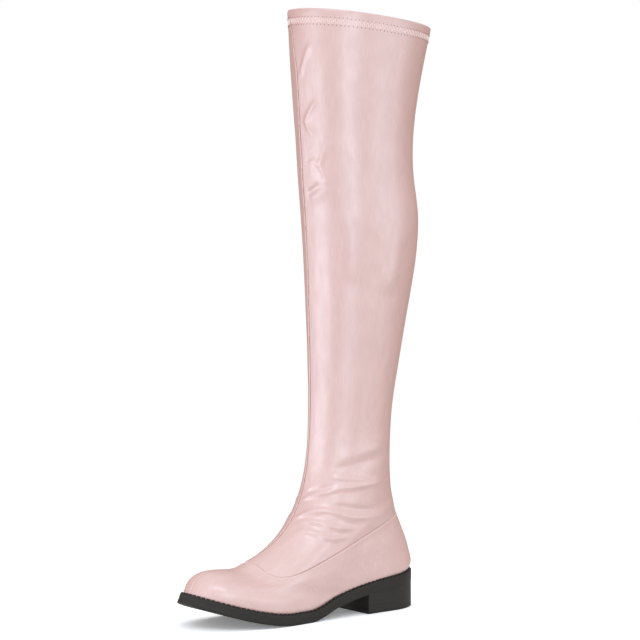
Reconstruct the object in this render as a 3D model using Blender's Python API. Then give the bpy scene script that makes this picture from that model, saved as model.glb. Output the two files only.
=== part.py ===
"""Thigh-high boot for the left foot: a stretch shaft sewn to a low upper, on a welted sole with a low heel.

Sizes are in millimetres. In the tables, s is the distance forward from the back edge of the sole and z is
the height above the floor. The toe points to -Y, and the outer (lateral) side of the foot is +X.
"""

import bpy
import bmesh
import numpy as np

MM = 0.001

# Driving dimensions
SOLE_LENGTH = 258.0
TOE_SHIFT = -11.0         # the toe tip lies this far towards the inner side of the heel's centre line
SHIFT_FROM = 60.0         # the sole starts to curve inwards here
HEEL_LENGTH = 72.0
LEDGE = 3.2               # the welt and sole stand out past the upper
OUTSOLE_THICK = 7.6
WELT_THICK = 2.5
WELT_INSIDE = 2.2         # the welt reaches this far in under the upper
INSOLE_INSET = 2.7
INSOLE_TOP_INSET = 4.6
INSOLE_THICK = 4.0
TOE_LEAN = 3.0            # the sole's edge leans forward at the toe, square to its spring
LEAN_FROM = 190.0
UPPER_WALL = 1.8
SHAFT_WALL = 1.4
HEM_WALL = 2.4            # the turned hem doubles the stretch material
HEM_DEPTH = 14.0
HEM_STEP = 0.8            # the wall thickens to the hem over this height
SEAM_RIB = 0.6            # the front seam stands out this far
SEAM_RISE = 20.0          # it grows to that over this length, from nothing at the sewn seam
SEAM_ANGLE = -0.10        # the front seam runs this far round to the inner side
SEAM_HALF_ANGLE = 0.04    # half the seam's width, as an angle round the leg
GAP = 0.3                 # clearance between pieces that touch
SEWN_GAP = 0.5            # clearance of the sewn seam, measured up the boot
EDGE_ROUND = 1.2
HEEL_INSET = 0.8

# Underside of the outsole along the foot: heel seat, arch, flat tread and toe spring
SOLE_COLUMNS = ("s", "z")
SOLE_PROFILE = (
    (-10.0, 27.6),
    (0.0, 26.6),
    (30.0, 23.6),
    (60.0, 20.6),
    (85.0, 16.8),
    (110.0, 10.7),
    (130.0, 2.5),
    (143.0, 0.0),
    (165.0, 0.0),
    (178.0, 1.1),
    (193.0, 3.4),
    (211.0, 7.5),
    (235.0, 14.6),
    (258.0, 23.0),
    (268.0, 27.0),
)

# Rings round the foot, from the sole edge up to the seam under the shaft. Each ring starts on the front
# ridge, heads for its fore point, turns towards its rear point and ends on the back of the heel. Half widths
# are at the ball, the waist and the heel, and arch is the share by which the inner side is drawn in at the
# waist. The rounds say over what share of the ring its front and back ends are rounded.
FOOT_COLUMNS = ("front_s", "front_z", "fore_s", "fore_z", "rear_s", "rear_z", "back_s", "back_z",
                "ball", "waist", "heel", "arch", "front_round", "back_round")
FOOT_SECTIONS = (
    (254.8, 31.0, 191.6, 10.0, 107.7, 20.0, 3.2, 37.0, 41.4, 32.3, 28.4, 0.26, 0.373, 0.134),
    (251.7, 37.8, 200.0, 14.0, 112.0, 21.0, -0.4, 45.0, 41.5, 32.5, 30.0, 0.20, 0.37, 0.14),
    (246.6, 45.0, 214.0, 20.0, 122.0, 27.0, 1.3, 54.0, 40.0, 34.0, 31.0, 0.16, 0.39, 0.15),
    (236.1, 51.8, 216.0, 20.0, 124.0, 34.0, 4.0, 64.0, 38.0, 35.0, 31.5, 0.12, 0.41, 0.17),
    (221.0, 53.2, 206.0, 20.0, 122.0, 44.0, 8.2, 74.0, 36.5, 35.5, 32.0, 0.09, 0.43, 0.19),
    (204.0, 52.8, 190.0, 20.0, 118.0, 56.0, 12.6, 84.0, 35.5, 35.5, 32.0, 0.06, 0.45, 0.22),
    (187.3, 57.8, 178.0, 22.0, 110.0, 74.0, 17.7, 95.0, 35.0, 35.5, 32.0, 0.04, 0.47, 0.26),
)

# Rings round the leg, from just above the seam up to the collar. Dip is how far a ring's fore point drops
# below the line from its front to its back.
LEG_COLUMNS = ("front_s", "front_z", "back_s", "back_z", "dip", "half_width", "front_round", "back_round")
LEG_SECTIONS = (
    (170.4, 65.2, 21.2, 104.0, 38.0, 35.2, 0.48, 0.30),
    (151.7, 76.6, 23.7, 113.0, 29.0, 34.7, 0.49, 0.34),
    (136.6, 92.5, 25.9, 122.0, 20.0, 34.2, 0.50, 0.38),
    (126.0, 112.0, 27.6, 133.0, 12.0, 33.9, 0.52, 0.41),
    (119.3, 134.0, 29.2, 147.0, 5.0, 33.9, 0.54, 0.43),
    (115.5, 160.0, 30.2, 167.0, 0.0, 34.5, 0.56, 0.44),
    (113.0, 200.0, 28.2, 202.0, 0.0, 36.2, 0.56, 0.44),
    (112.9, 250.0, 20.2, 250.0, 0.0, 40.1, 0.56, 0.44),
    (114.0, 300.0, 11.0, 300.0, 0.0, 44.8, 0.56, 0.44),
    (115.7, 350.0, 2.4, 350.0, 0.0, 49.2, 0.56, 0.44),
    (118.5, 390.0, 1.0, 388.0, 0.0, 50.8, 0.56, 0.44),
    (121.8, 428.0, 6.2, 424.0, 0.0, 50.3, 0.56, 0.44),
    (124.8, 472.0, 7.4, 465.0, 0.0, 51.8, 0.56, 0.44),
    (128.4, 525.0, 0.8, 513.0, 0.0, 56.2, 0.56, 0.44),
    (131.8, 584.0, -11.5, 565.0, 0.0, 61.2, 0.56, 0.44),
)
REAR_FORWARD = 0.75       # share of the dip by which a leg ring's rear point is drawn forward
REAR_DROP = 0.17          # share of the dip by which it drops
ROUND_POWER = 2.15        # a little squarer than an ellipse
RING_STOPS = (0.30, 0.62, 0.88)   # shares of a ring, from its front, where its ball, waist and heel count

SEGMENTS = 56             # points round every ring
FOOT_STEPS = 14
SHAFT_STEPS = 24


# Curves through tables

def table(columns, rows):
    return [dict(zip(columns, row)) for row in rows]


def eased(stops, values, x):
    """A curve through the values that is level at every stop."""
    stops = np.asarray(stops)
    values = np.asarray(values)
    x = np.clip(x, stops[0], stops[-1])
    k = np.clip(np.searchsorted(stops, x, side="right") - 1, 0, len(stops) - 2)
    f = (x - stops[k]) / (stops[k + 1] - stops[k])
    return values[k] + (values[k + 1] - values[k]) * f * f * (3 - 2 * f)


def hermite(x, y, slope, at):
    k = np.clip(np.searchsorted(x, at, side="right") - 1, 0, len(x) - 2)
    h = x[k + 1] - x[k]
    f = (at - x[k]) / h
    return ((1 + 2 * f) * (1 - f) ** 2 * y[k] + f * (1 - f) ** 2 * h * slope[k]
            + f * f * (3 - 2 * f) * y[k + 1] + f * f * (f - 1) * h * slope[k + 1])


def sole_bottom(s):
    """Height of the outsole's underside, which is dead level along the tread."""
    profile = table(SOLE_COLUMNS, SOLE_PROFILE)
    x = np.array([row["s"] for row in profile])
    y = np.array([row["z"] for row in profile])
    chord = np.diff(y) / np.diff(x)
    before, after = chord[:-1], chord[1:]
    slope = np.concatenate(([chord[0]], np.zeros(len(x) - 2), [chord[-1]]))
    bends_on = before * after > 0
    slope[1:-1][bends_on] = 2 * (before * after)[bends_on] / (before + after)[bends_on]
    return hermite(x, y, slope, np.asarray(s, float))


def sole_top(s):
    return sole_bottom(s) + OUTSOLE_THICK + GAP + WELT_THICK


def natural_spline(knots, values, at):
    """Values down the first axis, joined by a cubic with no kink in its curvature."""
    h = np.diff(knots)
    n = len(knots)
    system = np.eye(n)
    right = np.zeros((n,) + values.shape[1:])
    for i in range(1, n - 1):
        system[i, i - 1:i + 2] = h[i - 1], 2 * (h[i - 1] + h[i]), h[i]
        right[i] = 6 * ((values[i + 1] - values[i]) / h[i] - (values[i] - values[i - 1]) / h[i - 1])
    bend = np.linalg.solve(system, right.reshape(n, -1)).reshape(right.shape)
    k = np.clip(np.searchsorted(knots, at, side="right") - 1, 0, n - 2)
    shape = (-1,) + (1,) * (values.ndim - 1)
    width = h[k].reshape(shape)
    b = ((at - knots[k]) / h[k]).reshape(shape)
    a = 1 - b
    straight = a * values[k] + b * values[k + 1]
    return straight + ((a ** 3 - a) * bend[k] + (b ** 3 - b) * bend[k + 1]) * width ** 2 / 6


# The form of the last and the leg

def place_leg_turns(row):
    """A leg ring's fore and rear points: thirds of the line from front to back, moved by its dip."""
    along = row["back_s"] - row["front_s"]
    rise = row["back_z"] - row["front_z"]
    row["fore_s"] = row["front_s"] + along / 3 + row["dip"]
    row["fore_z"] = row["front_z"] + rise / 3 - row["dip"]
    row["rear_s"] = row["front_s"] + along * 2 / 3 + REAR_FORWARD * row["dip"]
    row["rear_z"] = row["front_z"] + rise * 2 / 3 - REAR_DROP * row["dip"]


def all_sections():
    """Foot and leg rows in one list, with the same columns."""
    rows = table(FOOT_COLUMNS, FOOT_SECTIONS)
    for row in table(LEG_COLUMNS, LEG_SECTIONS):
        place_leg_turns(row)
        row["ball"] = row["waist"] = row["heel"] = row["half_width"]
        row["arch"] = 0.0
        rows.append(row)
    return rows


def knots_up(rows):
    """Distance up the boot of each row, the mean of its front and back."""
    up = [0.0]
    for a, b in zip(rows, rows[1:]):
        front = np.hypot(b["front_s"] - a["front_s"], b["front_z"] - a["front_z"])
        back = np.hypot(b["back_s"] - a["back_s"], b["back_z"] - a["back_z"])
        up.append(up[-1] + (front + back) / 2)
    return np.array(up)


SECTIONS = all_sections()
UP = knots_up(SECTIONS)
UP_SEAM = UP[len(FOOT_SECTIONS) - 1]
UP_COLLAR = UP[-1]


def centre_shift(s):
    return TOE_SHIFT * (np.clip(s - SHIFT_FROM, 0, None) / (SOLE_LENGTH - SHIFT_FROM)) ** 2


def rounding(distance, reach):
    """Width share near the end of a ring, from 0 at the end to 1 at its reach."""
    f = 1 - np.clip(distance / reach, 0, 1)
    return np.clip(1 - f ** ROUND_POWER, 0, None) ** (1 / ROUND_POWER)


def key_rings(angle):
    """Every table row as a ring of points. Angle 0 is the front, pi the back, by way of the outer side."""
    t = (1 - np.cos(angle)) / 2
    outer = np.sin(angle) >= 0
    side = np.where(outer, 1.0, -1.0)
    steps = ((1 - t) ** 3, 3 * t * (1 - t) ** 2, 3 * t ** 2 * (1 - t), t ** 3)
    rings = []
    for i, row in enumerate(SECTIONS):
        s = sum(k * row[part + "_s"] for k, part in zip(steps, ("front", "fore", "rear", "back")))
        z = sum(k * row[part + "_z"] for k, part in zip(steps, ("front", "fore", "rear", "back")))
        outside = eased(RING_STOPS, (row["ball"], row["waist"], row["heel"]), t)
        inside = eased(RING_STOPS, (row["ball"], row["waist"] * (1 - row["arch"]), row["heel"]), t)
        width = np.where(outer, outside, inside)
        width = width * rounding(t, row["front_round"]) * rounding(1 - t, row["back_round"])
        if i == 0:
            z = sole_top(s) + GAP
        rings.append(np.stack([centre_shift(s) + side * width, -s, z], axis=-1))
    return np.array(rings)


def form(up, angle):
    """Points of the outside at each distance up and angle round."""
    return natural_spline(UP, key_rings(np.asarray(angle)), np.asarray(up, float))


def angles():
    return np.arange(SEGMENTS) * 2 * np.pi / SEGMENTS


def plan_offset(ring, distance):
    """The sole-edge ring moved outwards in plan."""
    ahead = np.roll(ring, -1, axis=0) - np.roll(ring, 1, axis=0)
    normal = np.stack([ahead[:, 1], -ahead[:, 0]], axis=-1)
    normal /= np.linalg.norm(normal, axis=1, keepdims=True)
    inward = np.mean(ring[:, :2], axis=0) - ring[:, :2]
    flip = np.where(np.sum(normal * inward, axis=1) > 0, -1.0, 1.0)
    out = ring.copy()
    out[:, :2] += normal * np.median(flip) * distance
    return out


# Building with bmesh

def add_ring(bm, ring):
    return [bm.verts.new(tuple(float(v) * MM for v in p)) for p in ring]


def join_rings(bm, lower, upper):
    n = len(lower)
    for i in range(n):
        j = (i + 1) % n
        bm.faces.new((lower[i], lower[j], upper[j], upper[i]))


def cap_across(bm, ring):
    """Closes a ring with faces that run from its outer side to its inner side."""
    n = len(ring)
    half = n // 2
    bm.faces.new((ring[0], ring[1], ring[n - 1]))
    for i in range(1, half - 1):
        bm.faces.new((ring[i], ring[i + 1], ring[n - i - 1], ring[n - i]))
    bm.faces.new((ring[half - 1], ring[half], ring[half + 1]))


def finish(bm, name, material):
    bmesh.ops.recalc_face_normals(bm, faces=bm.faces)
    mesh = bpy.data.meshes.new(name)
    bm.to_mesh(mesh)
    bm.free()
    piece = bpy.data.objects.new(name, mesh)
    bpy.context.scene.collection.objects.link(piece)
    mesh.materials.append(material)
    return piece


def plain_material(name, colour, roughness):
    material = bpy.data.materials.new(name)
    material.use_nodes = True
    shader = material.node_tree.nodes["Principled BSDF"]
    shader.inputs["Base Color"].default_value = (*colour, 1.0)
    shader.inputs["Roughness"].default_value = roughness
    return material


def wall(name, rings, thickness, material):
    """An open sheet of rings, made solid inwards."""
    bm = bmesh.new()
    loops = [add_ring(bm, ring) for ring in rings]
    for lower, upper in zip(loops, loops[1:]):
        join_rings(bm, lower, upper)
    piece = finish(bm, name, material)
    solid = piece.modifiers.new("wall", "SOLIDIFY")
    solid.thickness = thickness * MM
    solid.offset = -1.0
    solid.use_even_offset = True
    solid.use_rim = True
    return piece


def edge_ring():
    return form([0.0], angles())[0]


def with_height(ring, height):
    out = ring.copy()
    out[:, 2] = height(-ring[:, 1])
    return out


def leaned(ring):
    """The ring with its toe pushed forward, as the sole's lower edge is."""
    out = ring.copy()
    out[:, 1] -= TOE_LEAN * (np.clip(-ring[:, 1] - LEAN_FROM, 0, None) / (SOLE_LENGTH - LEAN_FROM)) ** 2
    return out


def build_outsole(material):
    edge = plan_offset(edge_ring(), LEDGE)
    bm = bmesh.new()
    loops = [add_ring(bm, with_height(edge, lambda s: sole_bottom(s) + OUTSOLE_THICK)),
             add_ring(bm, with_height(leaned(edge), lambda s: sole_bottom(s) + EDGE_ROUND)),
             add_ring(bm, with_height(leaned(plan_offset(edge, -EDGE_ROUND)), sole_bottom))]
    for upper, lower in zip(loops, loops[1:]):
        join_rings(bm, upper, lower)
    cap_across(bm, loops[0])
    cap_across(bm, loops[-1])
    return finish(bm, "outsole", material)


def build_welt(material):
    edge = edge_ring()
    outer = plan_offset(edge, LEDGE)
    inner = plan_offset(edge, -WELT_INSIDE)
    bm = bmesh.new()
    loops = []
    for ring, lift in ((outer, 0.0), (outer, WELT_THICK), (inner, WELT_THICK), (inner, 0.0)):
        height = OUTSOLE_THICK + GAP + lift
        loops.append(add_ring(bm, with_height(ring, lambda s: sole_bottom(s) + height)))
    for a, b in zip(loops, loops[1:] + loops[:1]):
        join_rings(bm, a, b)
    return finish(bm, "welt", material)


def breast_corner(front, back):
    """Where the line between two edge points crosses the front of the heel."""
    return front + (back - front) * (-front[1] - HEEL_LENGTH) / (back[1] - front[1])


def build_heel_block(material):
    edge = plan_offset(edge_ring(), LEDGE - HEEL_INSET)
    back = np.nonzero(-edge[:, 1] < HEEL_LENGTH)[0]
    ring = np.vstack([breast_corner(edge[back[0] - 1], edge[back[0]]), edge[back],
                      breast_corner(edge[back[-1] + 1], edge[back[-1]])])
    bm = bmesh.new()
    top = add_ring(bm, with_height(ring, lambda s: sole_bottom(s) - GAP))
    bottom = add_ring(bm, with_height(ring, lambda s: 0.0 * s))
    join_rings(bm, bottom, top)
    n = len(ring)
    for loop in (top, bottom):
        for i in range(n // 2 - 1):
            bm.faces.new((loop[i], loop[i + 1], loop[n - 2 - i], loop[n - 1 - i]))
        if n % 2:
            bm.faces.new(loop[n // 2 - 1:n // 2 + 2])
    return finish(bm, "heel_block", material)


def build_insole(material):
    rest = OUTSOLE_THICK + GAP
    bm = bmesh.new()
    base = add_ring(bm, with_height(plan_offset(edge_ring(), -INSOLE_INSET),
                                    lambda s: sole_bottom(s) + rest))
    top = add_ring(bm, with_height(plan_offset(edge_ring(), -INSOLE_TOP_INSET),
                                   lambda s: sole_bottom(s) + rest + INSOLE_THICK))
    join_rings(bm, base, top)
    cap_across(bm, base)
    cap_across(bm, top)
    return finish(bm, "insole", material)


def build_upper(material):
    up = np.linspace(0.0, UP_SEAM - SEWN_GAP / 2, FOOT_STEPS + 1)
    return wall("upper", form(up, angles()), UPPER_WALL, material)


def build_shaft(material):
    up = np.linspace(UP_SEAM + SEWN_GAP / 2, UP_COLLAR - HEM_DEPTH, SHAFT_STEPS)
    up = np.concatenate((up, [UP_COLLAR - HEM_DEPTH + HEM_STEP, UP_COLLAR]))
    seam = SEAM_ANGLE + SEAM_HALF_ANGLE * np.array([-1.0, 0.0, 1.0])
    around = np.concatenate((seam, angles()[1:-1]))
    rings = form(up, around)
    rings[:, 1, 1] -= SEAM_RIB * np.clip((up - UP_SEAM) / SEAM_RISE, 0, 1)
    piece = wall("shaft", rings, HEM_WALL, material)
    hem = piece.vertex_groups.new(name="hem")
    count = len(around)
    hem.add(list(range((len(up) - 2) * count, len(up) * count)), 1.0, "REPLACE")
    solid = piece.modifiers["wall"]
    solid.vertex_group = "hem"
    solid.thickness_vertex_group = SHAFT_WALL / HEM_WALL
    return piece


def stand_on_origin(pieces):
    """Hangs the pieces from one empty, so that the middle of the boot's box stands on the origin."""
    low = np.full(3, np.inf)
    high = np.full(3, -np.inf)
    for piece in pieces:
        points = np.array([v.co for v in piece.data.vertices])
        low = np.minimum(low, points.min(axis=0))
        high = np.maximum(high, points.max(axis=0))
    boot = bpy.data.objects.new("boot", None)
    bpy.context.scene.collection.objects.link(boot)
    boot.location = (-(low[0] + high[0]) / 2, -(low[1] + high[1]) / 2, -low[2])
    for piece in pieces:
        piece.parent = boot


def build():
    for piece in list(bpy.data.objects):
        bpy.data.objects.remove(piece)
    leather = plain_material("pearl_leather", (0.72, 0.55, 0.54), 0.35)
    stretch = plain_material("pearl_stretch_leather", (0.74, 0.57, 0.56), 0.35)
    rubber = plain_material("dark_rubber", (0.035, 0.035, 0.032), 0.6)
    strip = plain_material("dark_welt", (0.04, 0.04, 0.036), 0.6)
    heel = plain_material("dark_heel", (0.04, 0.038, 0.035), 0.55)
    lining = plain_material("footbed_fabric", (0.5, 0.45, 0.42), 0.9)
    pieces = [build_outsole(rubber), build_welt(strip), build_heel_block(heel), build_insole(lining),
              build_upper(leather), build_shaft(stretch)]
    stand_on_origin(pieces)


build()
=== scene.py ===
# %% [markdown]
# # A thigh-high boot in pearl stretch leather
# This lesson dresses a boot whose solids are already made. The solids say where every piece is
# and how large it is. Here each one gets the surface that the eye expects: soft folds at the ankle, sewn
# seams, a zigzag hem, a satin pearl finish and a dull dark sole.

# %% Load the imported boot
import bmesh
import bpy
import numpy as np
from mathutils import Matrix, Vector, noise


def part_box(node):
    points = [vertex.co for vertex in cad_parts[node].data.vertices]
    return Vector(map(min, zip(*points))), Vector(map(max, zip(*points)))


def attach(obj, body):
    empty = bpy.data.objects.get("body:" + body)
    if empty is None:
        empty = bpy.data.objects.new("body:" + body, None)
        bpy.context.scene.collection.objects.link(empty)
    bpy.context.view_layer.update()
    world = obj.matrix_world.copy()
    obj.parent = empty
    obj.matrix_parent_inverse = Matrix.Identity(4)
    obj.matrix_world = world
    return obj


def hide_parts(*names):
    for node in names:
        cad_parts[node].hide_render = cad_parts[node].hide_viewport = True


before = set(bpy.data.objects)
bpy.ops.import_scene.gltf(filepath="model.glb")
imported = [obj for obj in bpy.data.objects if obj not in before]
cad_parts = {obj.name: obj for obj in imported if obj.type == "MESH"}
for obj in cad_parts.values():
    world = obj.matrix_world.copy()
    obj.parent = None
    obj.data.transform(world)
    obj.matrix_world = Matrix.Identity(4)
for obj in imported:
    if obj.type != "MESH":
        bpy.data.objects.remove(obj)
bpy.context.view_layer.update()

# %% [markdown]
# ## The sizes of the boot
# A boot is built round a last, a foot-shaped form with a known profile. The same tables that shaped the
# solids are written again here, because the fine surface has to lie exactly on them. All sizes are in
# millimetres: s runs forward from the back edge of the sole, z is the height above the floor, and x points
# to the outer side of the left foot.

# %% Driving sizes
MM = 0.001
SOLE_LENGTH = 258.0
TOE_SHIFT = -11.0  # the toe tip lies this far towards the inner side
SHIFT_FROM = 60.0  # the sole starts to curve inwards here
HEEL_LENGTH = 72.0
HEEL_INSET = 0.25
LEDGE = 3.2  # the welt and sole stand out this far past the upper
OUTSOLE_THICK = 7.6
WELT_THICK = 2.5
WELT_INSIDE = 2.2  # the welt reaches this far in under the upper
TOE_LEAN = 3.0  # the sole's edge leans forward at the toe, square to its spring
LEAN_FROM = 190.0
GAP = 0.3  # clearance between pieces that touch
UPPER_WALL = 1.8
SHAFT_WALL = 1.4
HEM_WALL = 2.4  # the hem is turned in, so it is thicker
HEM_DEPTH = 14.0
ROUND_POWER = 2.15  # 2 rounds the ends of a ring like an ellipse, more makes them fuller
RING_STOPS = (0.30, 0.62, 0.88)  # shares of a ring where the ball, the waist and the heel lie
REAR_FORWARD = 0.75  # how a dip in a leg ring moves its rear point forward and down
REAR_DROP = 0.17
print("sole", SOLE_LENGTH, "mm long")

# %% Tables of the sole, the foot and the leg
SOLE_COLUMNS = ("s", "z")
SOLE_PROFILE = (
    (-10.0, 27.6),
    (0.0, 26.6),
    (30.0, 23.6),
    (60.0, 20.6),
    (85.0, 16.8),
    (110.0, 10.7),
    (130.0, 2.5),
    (143.0, 0.0),
    (165.0, 0.0),
    (178.0, 1.1),
    (193.0, 3.4),
    (211.0, 7.5),
    (235.0, 14.6),
    (258.0, 23.0),
    (268.0, 27.0),
)
FOOT_COLUMNS = ("front_s", "front_z", "fore_s", "fore_z", "rear_s", "rear_z", "back_s", "back_z",
                "ball", "waist", "heel", "arch", "front_round", "back_round")
FOOT_SECTIONS = (
    (254.8, 31.0, 191.6, 10.0, 107.7, 20.0, 3.2, 37.0, 41.4, 32.3, 28.4, 0.26, 0.373, 0.134),
    (251.7, 37.8, 200.0, 14.0, 112.0, 21.0, -0.4, 45.0, 41.5, 32.5, 30.0, 0.20, 0.37, 0.14),
    (246.6, 45.0, 214.0, 20.0, 122.0, 27.0, 1.3, 54.0, 40.0, 34.0, 31.0, 0.16, 0.39, 0.15),
    (236.1, 51.8, 216.0, 20.0, 124.0, 34.0, 4.0, 64.0, 38.0, 35.0, 31.5, 0.12, 0.41, 0.17),
    (221.0, 53.2, 206.0, 20.0, 122.0, 44.0, 8.2, 74.0, 36.5, 35.5, 32.0, 0.09, 0.43, 0.19),
    (204.0, 52.8, 190.0, 20.0, 118.0, 56.0, 12.6, 84.0, 35.5, 35.5, 32.0, 0.06, 0.45, 0.22),
    (187.3, 57.8, 178.0, 22.0, 110.0, 74.0, 17.7, 95.0, 35.0, 35.5, 32.0, 0.04, 0.47, 0.26),
)
LEG_COLUMNS = ("front_s", "front_z", "back_s", "back_z", "dip", "half_width", "front_round", "back_round")
LEG_SECTIONS = (
    (170.4, 65.2, 21.2, 104.0, 38.0, 35.2, 0.48, 0.30),
    (151.7, 76.6, 23.7, 113.0, 29.0, 34.7, 0.49, 0.34),
    (136.6, 92.5, 25.9, 122.0, 20.0, 34.2, 0.50, 0.38),
    (126.0, 112.0, 27.6, 133.0, 12.0, 33.9, 0.52, 0.41),
    (119.3, 134.0, 29.2, 147.0, 5.0, 33.9, 0.54, 0.43),
    (115.5, 160.0, 30.2, 167.0, 0.0, 34.5, 0.56, 0.44),
    (113.0, 200.0, 28.2, 202.0, 0.0, 36.2, 0.56, 0.44),
    (112.9, 250.0, 20.2, 250.0, 0.0, 40.1, 0.56, 0.44),
    (114.0, 300.0, 11.0, 300.0, 0.0, 44.8, 0.56, 0.44),
    (115.7, 350.0, 2.4, 350.0, 0.0, 49.2, 0.56, 0.44),
    (118.5, 390.0, 1.0, 388.0, 0.0, 50.8, 0.56, 0.44),
    (121.8, 428.0, 6.2, 424.0, 0.0, 50.3, 0.56, 0.44),
    (124.8, 472.0, 7.4, 465.0, 0.0, 51.8, 0.56, 0.44),
    (128.4, 525.0, 0.8, 513.0, 0.0, 56.2, 0.56, 0.44),
    (131.8, 584.0, -11.5, 565.0, 0.0, 61.2, 0.56, 0.44),
)

# %% [markdown]
# ## The form as a function
# A form could be drawn point by point, but a boot is a stack of rings, so one function of two numbers gives
# every point: how far up the boot, and how far round it. Angle 0 is the front, and the angle grows by way of
# the outer side to the back. A cubic without kinks joins the rings, so that reflections run smoothly.

# %% Curves through tables

def table(columns, rows):
    return [dict(zip(columns, row)) for row in rows]


def eased(stops, values, x):
    stops = np.asarray(stops)
    values = np.asarray(values)
    x = np.clip(x, stops[0], stops[-1])
    k = np.clip(np.searchsorted(stops, x, side="right") - 1, 0, len(stops) - 2)
    f = (x - stops[k]) / (stops[k + 1] - stops[k])
    return values[k] + (values[k + 1] - values[k]) * f * f * (3 - 2 * f)


def hermite(x, y, slope, at):
    k = np.clip(np.searchsorted(x, at, side="right") - 1, 0, len(x) - 2)
    h = x[k + 1] - x[k]
    f = (at - x[k]) / h
    return ((1 + 2 * f) * (1 - f) ** 2 * y[k] + f * (1 - f) ** 2 * h * slope[k]
            + f * f * (3 - 2 * f) * y[k + 1] + f * f * (f - 1) * h * slope[k + 1])


def sole_bottom(s):
    """Height of the outsole's underside."""
    profile = table(SOLE_COLUMNS, SOLE_PROFILE)
    x = np.array([row["s"] for row in profile])
    y = np.array([row["z"] for row in profile])
    chord = np.diff(y) / np.diff(x)
    before, after = chord[:-1], chord[1:]
    slope = np.concatenate(([chord[0]], np.zeros(len(x) - 2), [chord[-1]]))
    bends_on = before * after > 0
    slope[1:-1][bends_on] = 2 * (before * after)[bends_on] / (before + after)[bends_on]
    return hermite(x, y, slope, np.asarray(s, float))


def sole_top(s):
    return sole_bottom(s) + OUTSOLE_THICK + GAP + WELT_THICK


def natural_spline(knots, values, at):
    h = np.diff(knots)
    n = len(knots)
    system = np.eye(n)
    right = np.zeros((n,) + values.shape[1:])
    for i in range(1, n - 1):
        system[i, i - 1:i + 2] = h[i - 1], 2 * (h[i - 1] + h[i]), h[i]
        right[i] = 6 * ((values[i + 1] - values[i]) / h[i] - (values[i] - values[i - 1]) / h[i - 1])
    bend = np.linalg.solve(system, right.reshape(n, -1)).reshape(right.shape)
    k = np.clip(np.searchsorted(knots, at, side="right") - 1, 0, n - 2)
    shape = (-1,) + (1,) * (values.ndim - 1)
    width = h[k].reshape(shape)
    b = ((at - knots[k]) / h[k]).reshape(shape)
    a = 1 - b
    straight = a * values[k] + b * values[k + 1]
    return straight + ((a ** 3 - a) * bend[k] + (b ** 3 - b) * bend[k + 1]) * width ** 2 / 6


print("heel seat", round(float(sole_top(0.0)), 1), "mm up")

# %% Rings of the foot and the leg

def all_sections():
    rows = table(FOOT_COLUMNS, FOOT_SECTIONS)
    for row in table(LEG_COLUMNS, LEG_SECTIONS):
        along = row["back_s"] - row["front_s"]
        rise = row["back_z"] - row["front_z"]
        row["fore_s"] = row["front_s"] + along / 3 + row["dip"]
        row["fore_z"] = row["front_z"] + rise / 3 - row["dip"]
        row["rear_s"] = row["front_s"] + along * 2 / 3 + REAR_FORWARD * row["dip"]
        row["rear_z"] = row["front_z"] + rise * 2 / 3 - REAR_DROP * row["dip"]
        row["ball"] = row["waist"] = row["heel"] = row["half_width"]
        row["arch"] = 0.0
        rows.append(row)
    return rows


def knots_up(rows):
    up = [0.0]
    for a, b in zip(rows, rows[1:]):
        front = np.hypot(b["front_s"] - a["front_s"], b["front_z"] - a["front_z"])
        back = np.hypot(b["back_s"] - a["back_s"], b["back_z"] - a["back_z"])
        up.append(up[-1] + (front + back) / 2)
    return np.array(up)


SECTIONS = all_sections()
UP = knots_up(SECTIONS)
UP_SEAM = UP[len(FOOT_SECTIONS) - 1]
UP_COLLAR = UP[-1]
HEEL_BACK_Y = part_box("shaft")[1].y / MM + SECTIONS[-1]["back_s"]  # where s is 0 in the frame


def centre_shift(s):
    return TOE_SHIFT * (np.clip(s - SHIFT_FROM, 0, None) / (SOLE_LENGTH - SHIFT_FROM)) ** 2


def rounding(distance, reach):
    f = 1 - np.clip(distance / reach, 0, 1)
    return np.clip(1 - f ** ROUND_POWER, 0, None) ** (1 / ROUND_POWER)


def key_rings(angle):
    t = (1 - np.cos(angle)) / 2
    outer = np.sin(angle) >= 0
    side = np.where(outer, 1.0, -1.0)
    steps = ((1 - t) ** 3, 3 * t * (1 - t) ** 2, 3 * t ** 2 * (1 - t), t ** 3)
    rings = []
    for i, row in enumerate(SECTIONS):
        s = sum(k * row[part + "_s"] for k, part in zip(steps, ("front", "fore", "rear", "back")))
        z = sum(k * row[part + "_z"] for k, part in zip(steps, ("front", "fore", "rear", "back")))
        outside = eased(RING_STOPS, (row["ball"], row["waist"], row["heel"]), t)
        inside = eased(RING_STOPS, (row["ball"], row["waist"] * (1 - row["arch"]), row["heel"]), t)
        width = np.where(outer, outside, inside)
        width = width * rounding(t, row["front_round"]) * rounding(1 - t, row["back_round"])
        if i == 0:
            z = sole_top(s) + GAP
        rings.append(np.stack([centre_shift(s) + side * width, HEEL_BACK_Y - s, z], axis=-1))
    return np.array(rings)


def form(up, angle):
    """Points of the outside, one row for each distance up and one column for each angle."""
    return natural_spline(UP, key_rings(np.asarray(angle, float)), np.asarray(up, float))


def outward(up, angle):
    """Directions square to the outside at the same points."""
    step, turn = 0.4, 0.004
    along = form(np.asarray(up) + step, angle) - form(np.asarray(up) - step, angle)
    around = form(up, np.asarray(angle) + turn) - form(up, np.asarray(angle) - turn)
    normal = np.cross(around, along)
    return normal / np.linalg.norm(normal, axis=-1, keepdims=True)


print("seam at", round(float(UP_SEAM), 1), "mm up, collar at", round(float(UP_COLLAR), 1), "mm up")
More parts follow.
